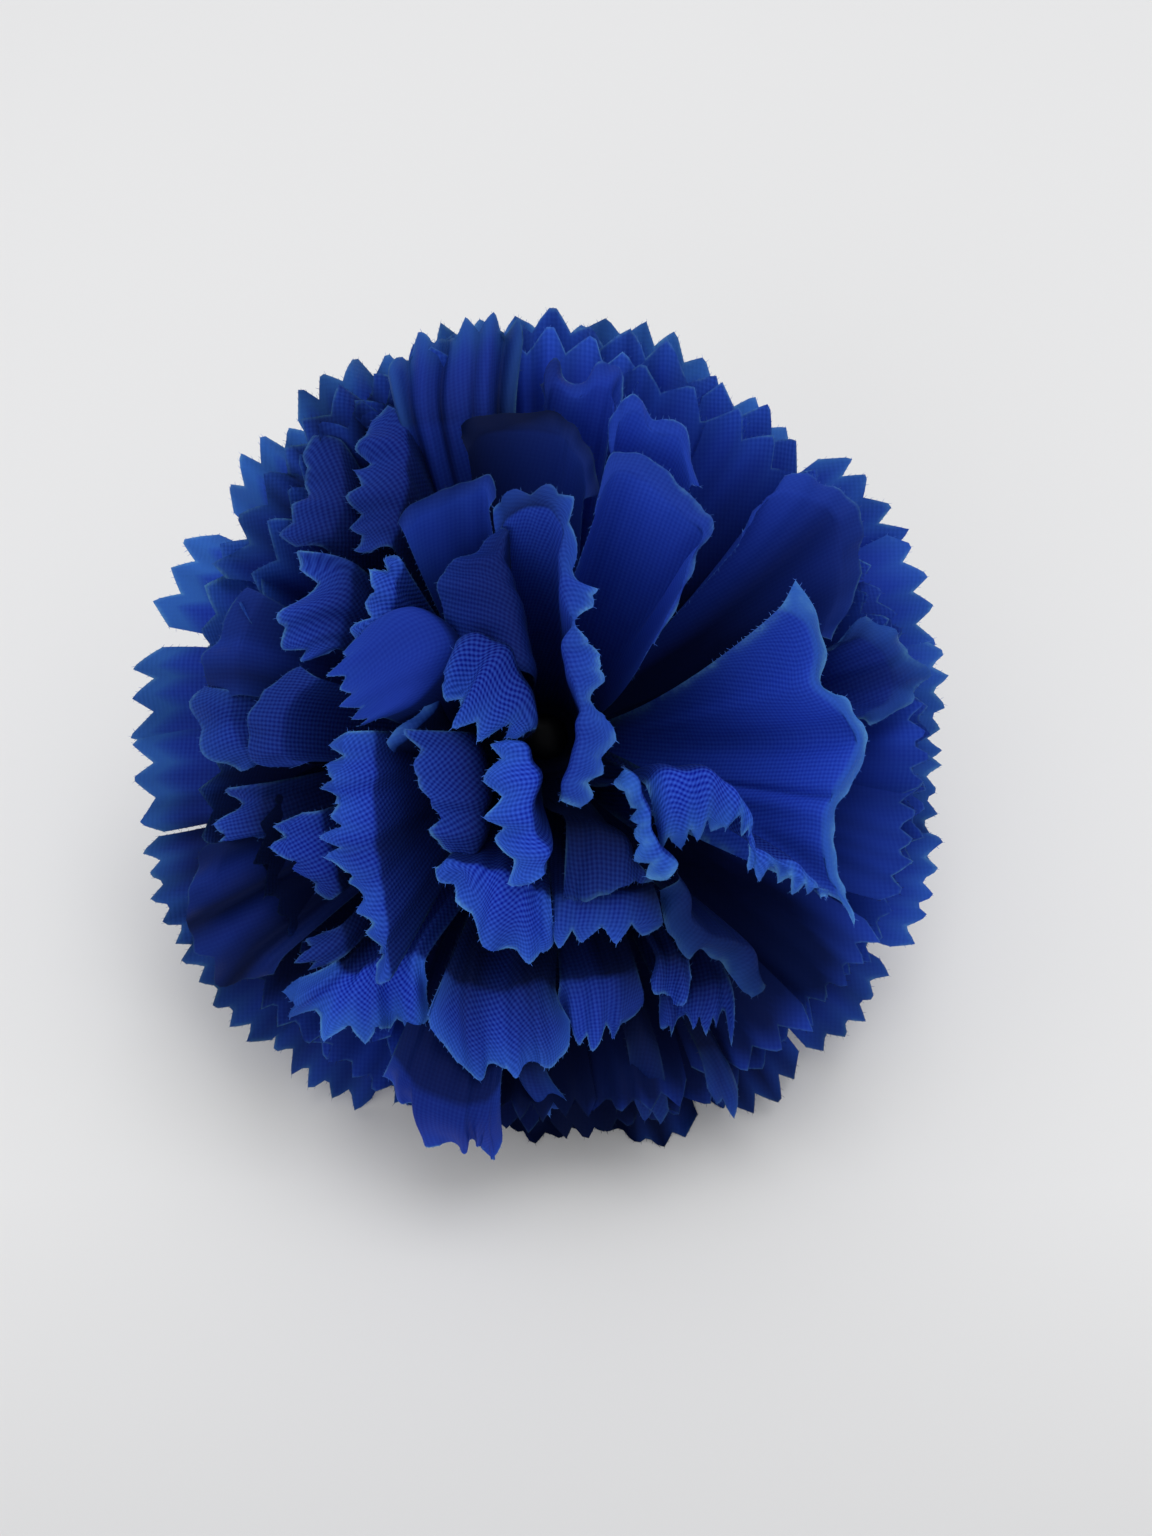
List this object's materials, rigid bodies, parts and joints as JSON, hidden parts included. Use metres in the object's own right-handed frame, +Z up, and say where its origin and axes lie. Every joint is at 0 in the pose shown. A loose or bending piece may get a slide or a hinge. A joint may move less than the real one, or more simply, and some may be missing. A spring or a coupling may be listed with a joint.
{
  "type": "artificial carnation flower head",
  "caption": "Cloth carnation head of stacked pinked discs on a peg and calyx, lying on a surface with its face tipped up, for silk flower decoration.",
  "frame": {"origin": "centre of the bounding box in X and Y, at the surface that the flower head lies on", "axes": "+Z up from the surface, -Y the way the bloom's face looks, 45 degrees above level, +X to the right of someone who looks at the face"},
  "size_m": [0.0926, 0.076, 0.0708],
  "materials": {
    "blue_cloth": "plain-woven polyester with a slight satin sheen and pinked, frayed edges",
    "peg_plastic": "moulded plastic",
    "green_plastic": "moulded plastic with fine ribs"
  },
  "bodies": {
    "root": {"cloth_disc_1": "blue_cloth", "cloth_disc_2": "blue_cloth", "cloth_disc_3": "blue_cloth", "cloth_disc_4": "blue_cloth", "cloth_disc_5": "blue_cloth", "cloth_disc_6": "blue_cloth", "peg": "peg_plastic", "calyx": "green_plastic"}
  },
  "joints": []
}
